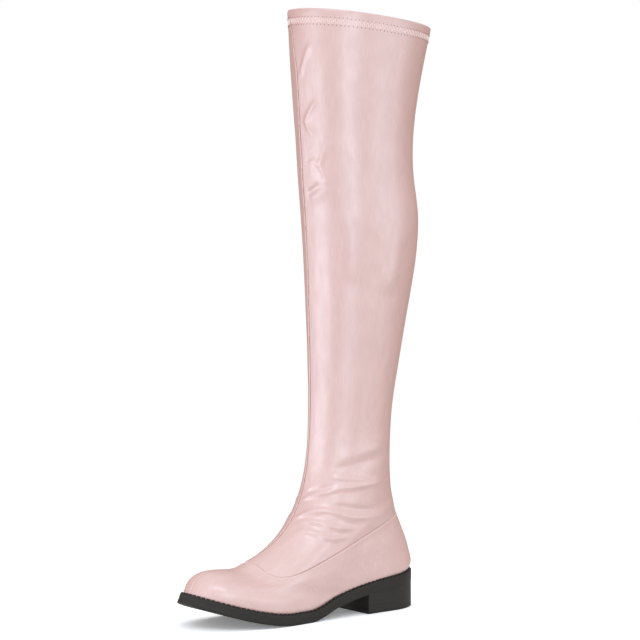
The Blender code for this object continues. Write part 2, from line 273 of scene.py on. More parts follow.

# %% [markdown]
# ## Folds, listed one by one
# Thin stretch leather bunches where the ankle bends, and it puckers a little along the seam in front of the
# thigh. Cloth simulation would put folds somewhere, but not where this boot has them. So every fold is one
# row of a table: three points that it passes through, how far it rises (a trough has a minus), and how wide
# it is on its upper and lower side. A fold that runs down the leg has its upper side towards the back.

# %% Table of folds
FOLD_COLUMNS = ("up_a", "deg_a", "up_b", "deg_b", "up_c", "deg_c", "rise", "upper", "lower")
ANKLE_FOLDS = (
    (157.0, 34.0, 161.0, 76.0, 164.0, 126.0, -1.0, 3.8, 7.0),
    (166.0, 40.0, 169.5, 77.0, 172.0, 118.0, 0.4, 6.0, 3.5),
    (152.0, 36.0, 149.0, 71.0, 141.5, 106.0, 1.1, 3.0, 2.6),
    (142.0, 32.0, 141.2, 83.0, 132.0, 128.0, 1.7, 4.0, 2.2),
    (137.5, -4.0, 142.5, 24.0, 146.0, 52.0, -0.8, 2.4, 2.0),
    (133.0, -6.0, 138.5, 24.0, 142.0, 60.0, 1.3, 2.0, 2.4),
    (115.5, -8.0, 122.5, 14.0, 126.5, 56.0, 1.2, 2.4, 2.8),
    (131.5, 46.0, 123.0, 87.0, 101.0, 128.0, -1.3, 2.2, 2.8),
    (112.0, -8.0, 124.5, 62.0, 76.0, 146.0, 1.6, 3.0, 2.4),
    (110.0, -6.0, 117.0, 52.0, 92.0, 110.0, 1.5, 2.4, 2.4),
    (106.0, 6.0, 108.5, 56.0, 84.0, 108.0, 1.4, 2.6, 2.6),
    (97.0, 16.0, 93.0, 52.0, 80.0, 92.0, -0.3, 6.0, 7.0),
)
KNEE_FOLDS = (
    (558.0, 14.0, 544.0, 5.5, 525.0, -2.5, 0.9, 2.6, 2.4),
    (507.0, 19.5, 496.0, 9.2, 485.0, 1.0, 0.9, 2.6, 2.4),
    (491.0, 1.0, 480.0, 4.5, 470.0, 15.0, 0.7, 2.4, 2.4),
    (470.0, 31.5, 457.0, 25.0, 445.0, 18.5, 0.9, 2.6, 4.0),
    (452.0, 18.5, 441.0, 20.5, 425.0, 28.5, 0.9, 2.6, 4.0),
    (447.0, 5.0, 438.7, 17.0, 428.0, 24.0, -0.5, 3.0, 3.0),
    (450.5, -1.0, 453.0, 5.5, 456.0, 13.0, -0.5, 2.6, 3.0),
    (418.5, -3.5, 422.0, 7.0, 429.0, 18.5, -0.8, 2.8, 2.4),
    (413.5, -0.5, 418.5, 14.3, 425.0, 30.0, 0.5, 2.4, 7.0),
)
CALF_FOLDS = (
    (405.0, 44.0, 372.0, 48.0, 330.0, 51.0, 1.1, 9.0, 9.0),
    (392.0, 98.0, 354.0, 95.0, 318.0, 91.0, 1.0, 9.0, 9.0),
    (392.0, 70.0, 350.0, 71.0, 308.0, 72.0, -0.6, 9.0, 9.0),
)
INNER_SHARE = 0.4  # the ankle folds have their like on the inner side, shallower and a little lower
INNER_DROP = 3.0
INNER_TURN = 36.0  # they start this much further round
FOLDS = table(FOLD_COLUMNS, ANKLE_FOLDS + KNEE_FOLDS + CALF_FOLDS)
for inner in table(FOLD_COLUMNS, ANKLE_FOLDS):
    for point in "abc":
        inner["deg_" + point] = -inner["deg_" + point] - INNER_TURN
        inner["up_" + point] -= INNER_DROP
    inner["rise"] *= INNER_SHARE
    inner["upper"], inner["lower"] = inner["lower"], inner["upper"]
    FOLDS.append(inner)
print(len(FOLDS), "folds")

# %% Relief of the leather
FOLD_POINTS = 25
FOLD_REACH = 3.0  # a fold is felt this many widths away
FOLD_EASE = 0.24  # it grows and fades over this share of its length
UNEVEN = ((34.0, 0.22), (11.0, 0.07))  # size of soft unevenness in mm, and its height


def fold_path(fold):
    """Points along a fold: a parabola through its three points, laid on the form."""
    t = np.linspace(0, 1, FOLD_POINTS)
    shares = ((1 - t) * (1 - 2 * t), 4 * t * (1 - t), t * (2 * t - 1))
    up = sum(k * fold["up_" + p] for k, p in zip(shares, "abc"))
    angle = np.radians(sum(k * fold["deg_" + p] for k, p in zip(shares, "abc")))
    each = np.arange(FOLD_POINTS)
    return form(up, angle)[each, each]


def fold_height(points, normals, fold):
    path = fold_path(fold)
    reach = FOLD_REACH * max(fold["upper"], fold["lower"])
    height = np.zeros(len(points))
    close = np.all((points > path.min(axis=0) - reach) & (points < path.max(axis=0) + reach), axis=1)
    if not close.any():
        return height
    run = np.diff(path, axis=0)
    apart = points[close][:, None] - path[:-1]
    t = np.clip(np.sum(apart * run, axis=2) / np.sum(run * run, axis=1), 0, 1)
    apart = apart - t[..., None] * run
    nearest = np.argmin(np.sum(apart ** 2, axis=2), axis=1)
    each = np.arange(len(nearest))
    gap = apart[each, nearest]
    along = (nearest + t[each, nearest]) / (FOLD_POINTS - 1)
    above = np.sum(np.cross(normals[close], run[nearest]) * gap, axis=1) > 0
    width = np.where(above, fold["upper"], fold["lower"])
    ends = np.clip(np.minimum(along, 1 - along) / FOLD_EASE, 0, 1)
    fade = ends * ends * (3 - 2 * ends)
    height[close] = fold["rise"] * fade * np.exp(-np.sum(gap ** 2, axis=1) / width ** 2)
    return height


def relief(points, normals):
    """Height of folds and soft unevenness over the plain form, in mm."""
    flat = points.reshape(-1, 3)
    flat_normals = normals.reshape(-1, 3)
    height = np.zeros(len(flat))
    for fold in FOLDS:
        height += fold_height(flat, flat_normals, fold)
    for size, rise in UNEVEN:
        height += rise * np.array([noise.noise(Vector(p) / size) for p in flat])
    return height.reshape(points.shape[:2])


def leather(up, angle):
    """The creased outside of the boot, and the directions square to the plain form."""
    points = form(up, angle)
    normals = outward(up, angle)
    return points + relief(points, normals)[..., None] * normals, normals


print("deepest fold", min(fold["rise"] for fold in FOLDS), "mm")

# %% [markdown]
# ## Making a skin from a grid
# A boot's leather is one sheet that closes on itself. The operator create_grid gives a flat sheet of quads
# with an even UV map. Its points are then laid on the form and its edges are merged, which closes the tube
# without a gap. UVs are scaled to metres, so a weave can be given its real size.

# %% A grid laid on points
SHEET_HALF = 0.5  # the flat sheet is one unit wide, with its middle at the origin
MERGE = 0.00001  # points closer than this, in metres, become one


def smooth_mesh(name, bm):
    mesh = bpy.data.meshes.new(name)
    bm.to_mesh(mesh)
    bm.free()
    mesh.shade_smooth()
    return mesh


def skin(name, points, materials, uv_size, slots=None, round_rows=False):
    """A piece from rows of points in mm. Each row is a closed ring, and the rows may close up as well.

    The slots say for each row and column which of the materials its face gets.
    """
    if round_rows:
        points = np.concatenate((points, points[:1]))
    points = np.concatenate((points, points[:, :1]), axis=1)
    rows, columns = points.shape[0] - 1, points.shape[1] - 1
    places = (points * MM).tolist()
    bm = bmesh.new()
    bm.loops.layers.uv.new("UVMap")
    bmesh.ops.create_grid(bm, x_segments=columns, y_segments=rows, size=SHEET_HALF, calc_uvs=True)
    if slots is not None:
        for face in bm.faces:
            middle = face.calc_center_median()
            row = int((middle.y + SHEET_HALF) * rows)
            column = int((middle.x + SHEET_HALF) * columns)
            face.material_index = int(slots[row, column])
    for vert in bm.verts:
        column = round((vert.co.x + SHEET_HALF) * columns)
        row = round((vert.co.y + SHEET_HALF) * rows)
        vert.co = places[row][column]
    bmesh.ops.remove_doubles(bm, verts=bm.verts, dist=MERGE)
    if bm.calc_volume(signed=True) < 0:
        bmesh.ops.reverse_faces(bm, faces=bm.faces)
    mesh = smooth_mesh(name, bm)
    uv = np.zeros(len(mesh.loops) * 2, np.float32)
    mesh.uv_layers["UVMap"].data.foreach_get("uv", uv)
    mesh.uv_layers["UVMap"].data.foreach_set("uv", (uv.reshape(-1, 2) * uv_size).astype(np.float32).ravel())
    return add_piece(name, mesh, materials)


def add_piece(name, mesh, materials):
    piece = bpy.data.objects.new(name, mesh)
    bpy.context.scene.collection.objects.link(piece)
    for material in materials:
        mesh.materials.append(material)
    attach(piece, "root")
    print(name, len(mesh.vertices), "points")
    return piece


# %% [markdown]
# ## Finishes
# Each finish starts from the real material. One function turns the hex colours that people read off a screen
# into the linear light that the renderer needs, and one small function adds a node with its settings and
# links. Values that are the same all over are set on the shader itself.

# %% Colour and node helpers

def linear(hex_colour):
    values = [int(hex_colour[i:i + 2], 16) / 255 for i in (1, 3, 5)]
    return [v / 12.92 if v <= 0.04045 else ((v + 0.055) / 1.055) ** 2.4 for v in values] + [1.0]


def add_node(tree, kind, inputs=None, **settings):
    made = tree.nodes.new("ShaderNode" + kind)
    for name, value in settings.items():
        setattr(made, name, value)
    for name, value in (inputs or {}).items():
        if isinstance(value, bpy.types.NodeSocket):
            tree.links.new(value, made.inputs[name])
        else:
            made.inputs[name].default_value = value
    return made


def start_material(name, **shader_values):
    """A new material, its node tree and its shader with constant values set."""
    material = bpy.data.materials.new(name)
    material.use_nodes = True
    shader = material.node_tree.nodes["Principled BSDF"]
    for socket, value in shader_values.items():
        shader.inputs[socket.replace("_", " ")].default_value = value
    return material, material.node_tree, shader


# %% [markdown]
# The leather is polyurethane on a stretch knit, with pearl pigment in its top layer. Pearl flakes lie flat,
# so they send light back in a broad soft lobe that is cooler than the pink beneath. A rough shine with a
# high index and a bluish tint gives that. The knit shows through as fine upright lines, here a little
# coarser than real so that they show.

# %% Pearl leather
PATTERN_COLUMNS = ("name", "width", "height", "detail", "roughness", "strength", "depth")
PATTERNS = (  # sizes in metres, and the cloud is uneven tone and gloss without depth
    ("knit", 0.0008, 0.012, 2.0, 0.5, 0.20, 0.0002),
    ("ripple", 0.009, 0.0016, 2.0, 0.5, 0.10, 0.0004),
    ("cloud", 0.009, 0.028, 3.0, 0.6, 0.0, 0.0),
    ("grain", 0.0006, 0.0006, 2.0, 0.6, 0.10, 0.0002),
)


def pearl_leather(name, light, deep):
    material, tree, shader = start_material(
        name, IOR=2.0, Specular_IOR_Level=0.8, Specular_Tint=(0.80, 0.92, 1.0, 1.0))
    where = add_node(tree, "TexCoord").outputs["UV"]
    pattern, bump = {}, {}
    for row in table(PATTERN_COLUMNS, PATTERNS):
        scale = (1 / row["width"], 1 / row["height"], 1.0)
        sized = add_node(tree, "Mapping", {"Vector": where, "Scale": scale}).outputs["Vector"]
        height = add_node(tree, "TexNoise", {
            "Vector": sized, "Scale": 1.0, "Detail": row["detail"],
            "Roughness": row["roughness"]}).outputs["Fac"]
        pattern[row["name"]] = height
        if row["depth"]:
            bump.update({"Height": height, "Strength": row["strength"], "Distance": row["depth"]})
            bump["Normal"] = add_node(tree, "Bump", bump).outputs["Normal"]
    blend = add_node(tree, "Math", {0: pattern["knit"], 1: pattern["cloud"]}, operation="MULTIPLY")
    tone = add_node(tree, "MapRange", {"Value": blend.outputs["Value"], "From Min": 0.10, "From Max": 0.40})
    colour = add_node(tree, "Mix", {
        "Factor": tone.outputs["Result"], "A": linear(deep), "B": linear(light)}, data_type="RGBA")
    tree.links.new(colour.outputs[2], shader.inputs["Base Color"])
    gloss = add_node(tree, "MapRange", {
        "Value": pattern["cloud"], "From Min": 0.3, "From Max": 0.7, "To Min": 0.40, "To Max": 0.33})
    tree.links.new(gloss.outputs["Result"], shader.inputs["Roughness"])
    tree.links.new(bump["Normal"], shader.inputs["Normal"])
    return material


pearl_stretch = pearl_leather("pearl_stretch_leather", "#DCB9B3", "#D1ADA7")
pearl_vamp = pearl_leather("pearl_vamp_leather", "#DCB9B3", "#D1ADA7")
print(pearl_stretch.name, pearl_vamp.name)

# %% [markdown]
# Inside, the leg is bare knit backing. Cloth scatters light, so it is rough, with a little sheen. The sewing
# thread is pale polyester. The shade in the needle holes and at the bottom of the front seam's groove is
# painted, in darker colours of the thread's finish, because a hole that small shows only as a dark dot.

# %% Lining, thread and painted shade
RIB_WIDTH = 0.0014
TWIST = 0.0004


def knit_lining(name):
    material, tree, shader = start_material(name, Roughness=0.9, Sheen_Weight=0.3, Sheen_Roughness=0.6)
    where = add_node(tree, "TexCoord").outputs["UV"]
    scaled = add_node(tree, "Mapping", {
        "Vector": where, "Scale": (1 / RIB_WIDTH, 1 / RIB_WIDTH, 1.0)}).outputs["Vector"]
    ribs = add_node(tree, "TexWave", {
        "Vector": scaled, "Scale": 0.5, "Distortion": 1.2, "Detail": 1.0}).outputs["Fac"]
    colour = add_node(tree, "Mix", {
        "Factor": ribs, "A": linear("#D9BDB6"), "B": linear("#E8D2CC")}, data_type="RGBA")
    tree.links.new(colour.outputs[2], shader.inputs["Base Color"])
    bump = add_node(tree, "Bump", {"Height": ribs, "Strength": 0.4, "Distance": 0.0004})
    tree.links.new(bump.outputs["Normal"], shader.inputs["Normal"])
    return material


# pale thread, and darker colours of the same finish that paint the shade of holes and grooves
def thread_and_painted_shade(name, light, deep):
    material, tree, shader = start_material(name, Roughness=0.5, Sheen_Weight=0.2)
    where = add_node(tree, "TexCoord").outputs["Object"]
    twist = add_node(tree, "TexNoise", {"Vector": where, "Scale": 1 / TWIST, "Detail": 1.0}).outputs["Fac"]
    colour = add_node(tree, "Mix", {
        "Factor": twist, "A": linear(deep), "B": linear(light)}, data_type="RGBA")
    tree.links.new(colour.outputs[2], shader.inputs["Base Color"])
    return material


lining = knit_lining("knit_lining")
thread = thread_and_painted_shade("matching_thread", "#FBECE9", "#EED8D5")
# painted shade for the needle holes of the hem
painted_hole_shade = thread_and_painted_shade("needle_hole_painted_shade", "#96706E", "#7E5A59")
# painted shade for the bottom of the front seam's groove
painted_groove_shade = thread_and_painted_shade("groove_painted_shade", "#B58A7E", "#96705F")
print(lining.name, thread.name, painted_hole_shade.name, painted_groove_shade.name)

# %% [markdown]
# ## The leg
# The leg is one stretch tube with a seam down its front and a turned hem at the top. Its outside and its
# lining are made as one sheet: up the outside, over the rim and down the inside, where it closes on its own
# start. Columns lie closer together at the front seam and rows at the ankle, where the small shapes are.

# %% Where the columns and rows of the leg lie
LEG_COLUMNS_COUNT = 256
SEAM_PATH_COLUMNS = ("up", "degrees")
SEAM_PATH = (
    (0.0, 0.0),
    (20.0, -0.5),
    (45.0, -4.0),
    (70.0, -8.0),
    (160.0, -11.0),
    (260.0, -11.0),
    (360.0, -9.0),
    (470.0, -7.5),
    (530.0, -6.5),
    (555.0, -9.5),
    (590.0, -17.0),
)
SEAM_CROWD = 4.0  # columns are this much denser at the front seam
SEAM_SPREAD = 0.16  # over this angle
FINE_STEPS = 4000
MEAN_STEPS = 50


def seam_angle(up):
    rows = table(SEAM_PATH_COLUMNS, SEAM_PATH)
    return np.radians(eased([row["up"] for row in rows], [row["degrees"] for row in rows], up))


def crowded_angles(count, from_up, to_up):
    fine = np.linspace(-np.pi, np.pi, FINE_STEPS)
    middle = float(np.mean(seam_angle(np.linspace(from_up, to_up, MEAN_STEPS))))
    density = 1 + SEAM_CROWD * np.exp(-((fine - middle) / SEAM_SPREAD) ** 2)
    share = np.cumsum(density)
    share = (share - share[0]) / (share[-1] - share[0])
    return np.interp(np.arange(count) / count, share, fine)


ANKLE_TOP = 200.0
ANKLE_STEP = 1.05
LEG_STEP = 2.25
leg_up = np.concatenate((np.arange(UP_SEAM, ANKLE_TOP, ANKLE_STEP),
                         np.linspace(ANKLE_TOP, UP_COLLAR, int((UP_COLLAR - ANKLE_TOP) / LEG_STEP))))
print(len(leg_up), "rows up the outside")

# %% Front seam and sewn lower edge
SEAM_LIP = 0.45  # the seam's layers make a lip on its inner side
LIP_AT = 0.9
LIP_WIDTH = 1.1
SEAM_GROOVE = 0.5  # beside a thin groove, with painted shade at its bottom
GROOVE_AT = 0.6
GROOVE_WIDTH = 0.7
# half the width of the band of painted shade in the groove
GROOVE_SHADE = 0.5
KEEL = 1.6  # the seam stands up as a soft keel, steeper to the inner side
KEEL_OUTER = 9.0
KEEL_INNER = 4.5
KEEL_FLAT = 0.6  # with flatter leather beside it
KEEL_FLAT_WIDTH = 20.0
TUCK = 0.7  # the leg's lower edge dips at the curved seam
TUCK_WIDTH = 0.9
VAMP_LINE_COLUMNS = ("degrees", "share")
VAMP_LINE = (  # how deep the curved seam is sunk: most on the sides, hardly behind, not in front
    (0.0, 0.0),
    (60.0, 0.0),
    (84.0, 0.9),
    (130.0, 0.9),
    (152.0, 0.1),
    (180.0, 0.1),
)


def from_seam(up, angle):
    """Distance of each point of the form from the front seam at its height, minus on the inner side."""
    middle = np.array([form([u], [a])[0, 0] for u, a in zip(up, seam_angle(up))])
    outer = angle[None, :] > seam_angle(up)[:, None]
    return np.linalg.norm(form(up, angle) - middle[:, None], axis=2) * np.where(outer, 1, -1)


def front_seam(away):
    """A lip on the inner side, where the seam's layers lie, and a thin groove beside it."""
    lip = SEAM_LIP * np.exp(-((away + LIP_AT) / LIP_WIDTH) ** 2)
    return lip - SEAM_GROOVE * np.exp(-((away - GROOVE_AT) / GROOVE_WIDTH) ** 2)


def front_keel(away):
    ridge = np.exp(-np.abs(away) / np.where(away > 0, KEEL_OUTER, KEEL_INNER))
    return KEEL * (ridge - KEEL_FLAT * np.exp(-(away / KEEL_FLAT_WIDTH) ** 2))


def vamp_line(angle):
    rows = table(VAMP_LINE_COLUMNS, VAMP_LINE)
    degrees = [row["degrees"] for row in rows]
    return eased(degrees, [row["share"] for row in rows], np.degrees(np.abs(angle)))


def leg_surface(up, angle):
    """The outside of the leg with its seams, and the directions square to the plain form."""
    points, normals = leather(up, angle)
    away = from_seam(up, angle)
    tuck = -TUCK * np.exp(-((up - UP_SEAM) / TUCK_WIDTH) ** 2)
    lift = front_seam(away) + front_keel(away) + tuck[:, None] * vamp_line(angle)
    return points + lift[..., None] * normals, normals


# %% The leg's outside, rim and lining
RIM_ROUND = 1.1
RIM_STEPS = 9
HEM_ROWS = 5
HEM_EASE = 1.0  # below the hem the lining steps to its own depth over this height
LINING_ROWS = 44
FOLD_ROOM = 1.2  # the lining lies this much deeper, clear of the folds
LEG_ROUND = 0.36  # metres round the leg, for the UV map


def leg_skin():
    angle = crowded_angles(LEG_COLUMNS_COUNT, UP_SEAM, UP_COLLAR)
    outside, normals = leg_surface(leg_up, angle)
    rim_out, rim_in = outside[-1], outside[-1] - HEM_WALL * normals[-1]
    rise = np.array([0.0, 0.0, 1.0])
    rim = []
    for turn in np.linspace(0, np.pi, RIM_STEPS)[1:-1]:
        share = (1 - np.cos(turn)) / 2
        rim.append(rim_out * (1 - share) + rim_in * share + rise * RIM_ROUND * np.sin(turn))
    inner_up = np.concatenate((np.linspace(UP_COLLAR, UP_COLLAR - HEM_DEPTH, HEM_ROWS),
                               np.linspace(UP_COLLAR - HEM_DEPTH - HEM_EASE, UP_SEAM, LINING_ROWS)))
    wall = np.repeat((HEM_WALL, SHAFT_WALL + FOLD_ROOM), (HEM_ROWS, LINING_ROWS))
    inside = form(inner_up, angle) - wall[:, None, None] * outward(inner_up, angle)
    points = np.concatenate((outside, rim, inside))
    size = (LEG_ROUND, len(points) * LEG_STEP * MM)
    slots = np.zeros(points.shape[:2], int)
    slots[len(outside) + len(rim):] = 1
    # faces at the bottom of the groove get the painted shade
    slots[:len(outside)][np.abs(from_seam(leg_up, angle) - GROOVE_AT) < GROOVE_SHADE] = 2
    return skin("shaft_skin", points, (pearl_stretch, lining, painted_groove_shade), size, slots, round_rows=True)


shaft_skin = leg_skin()
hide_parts("shaft")

# %% [markdown]
# ## The vamp and counter
# Below the curved seam the foot is one piece that hugs the last. Its top edge is sewn over the leg. On the
# sides it stands a little proud, and in front it lies flush. Its lower edge turns in behind the welt. It is
# laid on the same form as the leg, so that the two meet.

# %% The upper
UPPER_COLUMNS = 320
UPPER_ROWS = (10, 44, 12)  # in the low band, the main part and the band at the edge
UPPER_LINING_ROWS = 24
UPPER_ROUND = (0.46, 0.16)  # metres round and up the foot, for the UV map
LOW_BAND = 6.0
EDGE_BAND = 4.0
EDGE_GAP = 0.15
EDGE_LIP = 0.35  # how proud the edge stands on the sides
EDGE_LIP_AT = 1.6
EDGE_LIP_WIDTH = 1.3
EDGE_DIP = 0.1  # share of that by which it lies lower in front
EDGE_ROLL = 0.5
EDGE_ROLL_WIDTH = 0.5
TURN_IN = 0.5
TURN_IN_WIDTH = 1.2
TOE_SEAM = 0.5  # the front seam is flatter over the toe
low, main, high = UPPER_ROWS
upper_up = np.concatenate((np.linspace(0, LOW_BAND, low)[:-1],
                           np.linspace(LOW_BAND, UP_SEAM - EDGE_BAND, main)[:-1],
                           np.linspace(UP_SEAM - EDGE_BAND, UP_SEAM - EDGE_GAP, high)))


def upper_skin():
    angle = crowded_angles(UPPER_COLUMNS, 0, UP_SEAM)
    outside, normals = leather(upper_up, angle)
    below = UP_SEAM - upper_up
    lip = EDGE_LIP * np.exp(-((below - EDGE_LIP_AT) / EDGE_LIP_WIDTH) ** 2)
    roll = EDGE_ROLL * np.exp(-(below / EDGE_ROLL_WIDTH) ** 2)
    turn_in = TURN_IN * np.exp(-(upper_up / TURN_IN_WIDTH) ** 2)
    sunk = vamp_line(angle)
    lift = lip[:, None] * ((1 + EDGE_DIP) * sunk - EDGE_DIP) - turn_in[:, None] - roll[:, None] * sunk
    lift = lift + TOE_SEAM * front_seam(from_seam(upper_up, angle))
    outside = outside + lift[..., None] * normals
    inner_up = np.linspace(UP_SEAM - EDGE_GAP, 0, UPPER_LINING_ROWS)
    inside = form(inner_up, angle) - UPPER_WALL * outward(inner_up, angle)
    points = np.concatenate((outside, inside))
    slots = np.zeros(points.shape[:2], int)
    slots[len(outside):] = 1
    return skin("upper_skin", points, (pearl_vamp, lining), UPPER_ROUND, slots, round_rows=True)


upper_piece = upper_skin()
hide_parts("upper")

# %% [markdown]
# ## Stitches
# A stitch is a short piece of thread between two needle holes. Each is a small stretched sphere, because
# many hundreds are needed and a few faces are enough. Matrices put them along the seams, and all the
# stitches of one seam are joined in one mesh.

# %% Stitch tools

def placed(x_axis, y_axis, z_axis, at):
    """A matrix with these axes and this place."""
    matrix = Matrix((x_axis, y_axis, z_axis)).transposed().to_4x4()
    matrix.translation = at
    return matrix


def between(start, end, normal, thickness):
    """A matrix that stretches a unit sphere from one point to another, in metres."""
    start, end = Vector(start) * MM, Vector(end) * MM
    along = end - start
    side = Vector(normal).cross(along).normalized()
    out = along.normalized().cross(side).normalized()
    return placed(along / 2, side * thickness * MM, out * -thickness * MM, (start + end) / 2)


def stitched(name, stitches, material):
    """One mesh of stitches, each given as start, end, outward direction and half thickness in mm."""
    one = bpy.data.meshes.new("one_stitch")
    bm = bmesh.new()
    bmesh.ops.create_uvsphere(bm, u_segments=8, v_segments=5, radius=1.0)
    bm.to_mesh(one)
    bm.clear()
    for start, end, normal, thickness in stitches:
        place = between(start, end, normal, thickness)
        one.transform(place)
        bm.from_mesh(one)
        one.transform(place.inverted())
    bpy.data.meshes.remove(one)
    bmesh.ops.recalc_face_normals(bm, faces=bm.faces)
    piece = add_piece(name, smooth_mesh(name, bm), (material,))


def evenly(points, pitch):
    """Shares along a closed line of points, one for each pitch."""
    length = np.concatenate(([0.0], np.cumsum(np.linalg.norm(np.diff(points, axis=0), axis=1))))
    count = int(round(length[-1] / pitch))
    return np.interp(np.arange(count + 1) * length[-1] / count, length, np.arange(len(points)))


# %% Zigzag of the hem
ZIGZAG_PITCH = 4.0
ZIGZAG_TOP = 6.6  # its upper and lower needle holes, below the collar
ZIGZAG_FOOT = 13.4
ZIGZAG_THREAD = 0.33  # half thicknesses
# half size of the dots of painted shade at the needle holes
HOLE_SIZE = 0.46
HEM_STEPS = 721


def hem_zigzag():
    angle = np.linspace(-np.pi, np.pi, HEM_STEPS)
    rows, normals = leg_surface(np.array([UP_COLLAR - ZIGZAG_TOP, UP_COLLAR - ZIGZAG_FOOT]), angle)
    shares = evenly(rows[0], ZIGZAG_PITCH / 2)
    spots = []
    for i, share in enumerate(shares):
        k = int(round(share))
        spots.append((rows[i % 2][k], normals[i % 2][k]))
    threads, holes = [], []
    for (start, out), (end, _) in zip(spots, spots[1:]):
        threads.append((start, end, out, ZIGZAG_THREAD))
    # a dark dot of painted shade at each needle hole, where the hole's shade would fall
    for spot, out in spots[:-1]:
        side = np.cross(out, (0.0, 0.0, 1.0)) * HOLE_SIZE
        holes.append((spot - side, spot + side, out, HOLE_SIZE))
    stitched("hem_zigzag", threads, thread)
    stitched("hem_hole_painted_shade", holes, painted_hole_shade)


hem_zigzag()

# %% Stitches along the vamp
VAMP_PITCH = 2.4
VAMP_STITCH = 1.5
VAMP_THREAD = 0.36
VAMP_BELOW = 2.4  # the stitches run this far below the curved seam
VAMP_LIFT = 0.7  # and sit at this share of the edge's lip
VAMP_STEPS = 1441


def vamp_stitches():
    angle = np.linspace(-np.pi, np.pi, VAMP_STEPS)
    threads = []
    rows, normals = leather(np.array([UP_SEAM - VAMP_BELOW]), angle)
    line = rows[0] + EDGE_LIP * VAMP_LIFT * normals[0]
    for share in evenly(line, VAMP_PITCH)[:-1]:
        k = int(share) % (len(line) - 1)
        along = line[k + 1] - line[k]
        along = along / np.linalg.norm(along) * VAMP_STITCH / 2
        threads.append((line[k] - along, line[k] + along, normals[0][k], VAMP_THREAD))
    stitched("vamp_stitches", threads, thread)


vamp_stitches()

# %% [markdown]
# ## The sole
# Outsole, welt and heel are dark moulded rubber. Its edge is brushed, which leaves dull level lines, and the
# heel imitates stacked leather with larger ones. Noise that is stretched along the sole makes both.

# %% Dark rubber finishes
BRUSH_LENGTH = 0.010  # sizes of the lines in metres
BRUSH_WIDTH = 0.0006
LAYER_LENGTH = 0.030
LAYER_HEIGHT = 0.0016


def dark_rubber(name, light, deep, scale, bump_height):
    material, tree, shader = start_material(name, Roughness=0.52, Specular_IOR_Level=0.4)
    where = add_node(tree, "TexCoord").outputs["Object"]
    scaled = add_node(tree, "Mapping", {"Vector": where, "Scale": scale}).outputs["Vector"]
    marks = add_node(tree, "TexNoise", {
        "Vector": scaled, "Scale": 1.0, "Detail": 3.0, "Roughness": 0.6}).outputs["Fac"]
    tone = add_node(tree, "MapRange", {"Value": marks, "From Min": 0.3, "From Max": 0.7})
    colour = add_node(tree, "Mix", {
        "Factor": tone.outputs["Result"], "A": linear(deep), "B": linear(light)}, data_type="RGBA")
    tree.links.new(colour.outputs[2], shader.inputs["Base Color"])
    rough = add_node(tree, "MapRange", {"Value": marks, "To Min": 0.42, "To Max": 0.62})
    tree.links.new(rough.outputs["Result"], shader.inputs["Roughness"])
    bump = add_node(tree, "Bump", {"Height": marks, "Strength": 0.35, "Distance": bump_height})
    tree.links.new(bump.outputs["Normal"], shader.inputs["Normal"])
    return material


along_edge = (1 / BRUSH_LENGTH, 1 / BRUSH_LENGTH, 1 / BRUSH_WIDTH)
in_layers = (1 / LAYER_LENGTH, 1 / LAYER_LENGTH, 1 / LAYER_HEIGHT)
sole_rubber = dark_rubber("sole_rubber", "#20201D", "#141412", along_edge, 0.0002)
welt_rubber = dark_rubber("welt_rubber", "#201F1B", "#161613", along_edge, 0.0002)
heel_stack = dark_rubber("heel_stack", "#262621", "#131210", in_layers, 0.0004)
print(sole_rubber.name, welt_rubber.name, heel_stack.name)

# %% [markdown]
# All three pieces follow the foot. Their outlines could be drawn as curves, but the lowest ring of the upper
# is that curve, so it is moved outwards in plan and laid on the sole's height.

# %% Outlines of the sole
SOLE_POINTS = 360


def edge_ring():
    return form([0.0], np.arange(SOLE_POINTS) * 2 * np.pi / SOLE_POINTS)[0]


def plan_offset(ring, distance):
    """The sole-edge ring moved outwards in plan, by one distance or one for each point."""
    ahead = np.roll(ring, -1, axis=0) - np.roll(ring, 1, axis=0)
    normal = np.stack([-ahead[:, 1], ahead[:, 0]], axis=-1)
    normal /= np.linalg.norm(normal, axis=1, keepdims=True)
    inward = np.mean(ring[:, :2], axis=0) - ring[:, :2]
    flip = np.where(np.sum(normal * inward, axis=1) > 0, -1.0, 1.0)
    out = ring.copy()
    out[:, :2] += normal * np.median(flip) * np.reshape(distance, (-1, 1))
    return out


def along_sole(ring):
    return HEEL_BACK_Y - ring[..., 1]


def lifted(ring, height):
    out = ring.copy()
    out[..., 2] = sole_bottom(along_sole(ring)) + height
    return out


def leaned(ring, share):
    """The ring with its toe pushed forward, as the sole's lower edge is."""
    out = ring.copy()
    reach = np.clip(along_sole(ring) - LEAN_FROM, 0, None) / (SOLE_LENGTH - LEAN_FROM)
    out[..., 1] -= share * TOE_LEAN * reach ** 2
    return out


def across(start, end, height, count):
    """Points between two sides of the sole, laid on its height, without the ends."""
    shares = np.linspace(0, 1, count + 2)[1:-1]
    rows = [start + (end - start) * share for share in shares]
    return [lifted(row, height) for row in rows]


print(SOLE_POINTS, "points round the sole")

# %% [markdown]
# The outsole is a thick sheet with a rounded lower edge, sharp only where the heel lies flush with it.
# Cut across it is a closed loop, so its skin is a row of loops that meet in a point at both tips.

# %% Outsole
OUTSOLE_EDGE = 1.1
TOP_BAND = 0.4
EDGE_STARTS = 6.0
FLUSH = 0.05  # share of the rounding that is left over the heel
ROUND_STEPS = 5
ACROSS = 9
SOLE_CREASE = 50.0  # edges that bend by more degrees than this stay sharp


